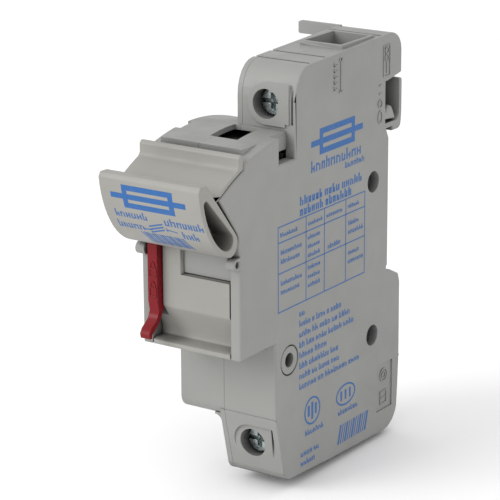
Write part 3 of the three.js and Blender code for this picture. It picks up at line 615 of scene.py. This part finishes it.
def lock_signs():
    """Two padlock outlines on the lever, one over the other."""
    drawing = Drawing(seed=23)
    for bottom in (-6.1, -10.6):
        drawing.box(-9.95, bottom, -7.95, bottom + 2.2, 0.3)
        drawing.arc((-8.95, bottom + 2.2), (0.8, 1.5), 0.3, 0, 180, steps=16)
    drawing.slices(0.7 * MM)
    return drawing


# ---------------------------------------------------------------- build
PIECES = {
    "housing_right": (GREY, "grey_plastic", RIGHT_RULES),
    "housing_left": (GREY, "grey_plastic", LEFT_RULES),
    "rail_clip": (GREY, "grey_plastic", MOULDED_RULES),
    "carrier_cradle": (GREY, "grey_plastic", MOULDED_RULES),
    "carrier_handle": (WARM_GREY, "warm_grey_plastic", HANDLE_RULES),
    "blank_cover": (COVER_GREY, "cover_plastic", MOULDED_RULES),
    "lock_lever": (RED, "red_plastic", ROUND_RULES),
    "rivet_upper": (ZINC, "zinc_steel", METAL_RULES),
    "rivet_lower": (ZINC, "zinc_steel", METAL_RULES),
    "top_clamp_cage": (ZINC, "zinc_steel", METAL_RULES),
    "bottom_clamp_cage": (ZINC, "zinc_steel", METAL_RULES),
    "top_terminal_screw": (ZINC, "zinc_steel", METAL_RULES),
    "bottom_terminal_screw": (ZINC, "zinc_steel", METAL_RULES),
    "lever_pin": (ZINC, "zinc_steel", METAL_RULES),
    "top_contact": (TIN, "tinned_copper", METAL_RULES),
    "bottom_contact": (TIN, "tinned_copper", METAL_RULES),
    "fuse_cap_bottom": (TIN, "tinned_copper", METAL_RULES),
    "fuse_cap_top": (TIN, "tinned_copper", METAL_RULES),
    "top_jaw_spring": (SPRING, "spring_steel", ROUND_RULES),
    "bottom_jaw_spring": (SPRING, "spring_steel", ROUND_RULES),
    "lever_spring": (SPRING, "spring_steel", ROUND_RULES),
    "fuse_tube": (CERAMIC, "ceramic", METAL_RULES),
    "fuse_element": (SILVER, "silver", ROUND_RULES),
    "fuse_sand": (SAND, "sand", ROUND_RULES),
}
for node, (finish, slot, rules) in PIECES.items():
    softened(node, finish, rules)

# The clip's spring stands on the housing and is pushed shorter by the clip's travel; here its copy only
# gets a mesh of its own.
clip_spring = softened("rail_clip_spring", SPRING, ROUND_RULES)
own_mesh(clip_spring)

for name, drawing in (
        ("side_heading", side_heading()), ("side_table", side_table()),
        ("side_notes", side_notes()), ("side_badges", side_badges())):
    lay_on("housing_right", drawing, name, BLUE_INK, FACING_SIDE, INK_LIFT)
lay_on(
    "carrier_handle", handle_front(), "handle_print", BLUE_INK,
    FACING_FRONT, INK_LIFT)
lay_on("housing_right", strip_gauge(), "strip_gauge", GREY, FACING_SIDE, MARK_LIFT)
lay_on("housing_right", field_marks(), "field_marks", GREY, FACING_SIDE, MARK_LIFT)
lay_on("lock_lever", lock_signs(), "lock_signs", RED, FACING_FRONT, LOCK_LIFT)


# ---------------------------------------------------------------- stage and camera
def stage():
    bpy.ops.mesh.primitive_plane_add(size=6, location=(0, 0, cad_bounds[0].z - 0.5 * MM))
    floor = bpy.context.object
    floor.name = "floor"
    nodes = Nodes("pale_floor")
    tone = nodes.mix(nodes.spread(nodes.noise(6), 0.4, 0.6, 0, 1), (0.9, 0.9, 0.9), (0.92, 0.92, 0.92))
    roughness = nodes.spread(nodes.noise(40), 0.3, 0.7, 0.7, 0.85)
    faint_grain = nodes.bump(nodes.noise(900), 0.05, 0.1 * MM)
    floor.data.materials.append(nodes.surface(tone, roughness, faint_grain))

    world = bpy.data.worlds.new("studio")
    world.use_nodes = True
    background = world.node_tree.nodes["Background"]
    background.inputs["Color"].default_value = (1, 1, 1, 1)
    background.inputs["Strength"].default_value = 1.0
    bpy.context.scene.world = world
    bpy.context.scene.view_settings.view_transform = "Standard"


def softbox(name, place, target, size, power):
    light = bpy.data.lights.new(name, "AREA")
    light.shape = "RECTANGLE"
    light.size, light.size_y = size
    light.energy = power
    made = bpy.data.objects.new(name, light)
    made.location = place
    made.rotation_euler = (Vector(target) - Vector(place)).to_track_quat("-Z", "Y").to_euler()
    bpy.context.scene.collection.objects.link(made)


AZIMUTH = 34.1
ELEVATION = 16.75
ROLL = -0.32
LENS = 168.05
CAMERA_PLACE = (0.2842, -0.4588, 0.1479)


def camera():
    data = bpy.data.cameras.new("camera")
    data.lens = LENS
    data.sensor_width = 36
    data.clip_start = 0.01
    made = bpy.data.objects.new("camera", data)
    made.location = CAMERA_PLACE
    turn = Euler((math.radians(90 - ELEVATION), 0, math.radians(AZIMUTH)), "XYZ").to_matrix()
    made.rotation_euler = (turn @ Matrix.Rotation(math.radians(ROLL), 3, "Z")).to_euler()
    bpy.context.scene.collection.objects.link(made)
    bpy.context.scene.camera = made


stage()
softbox("key", (-0.55, -0.95, 0.6), (0, 0, 0), (0.7, 0.7), 8.5)
softbox("fill", (1.2, -0.6, 0.15), (0, 0, 0), (0.8, 0.8), 1.4)
camera()
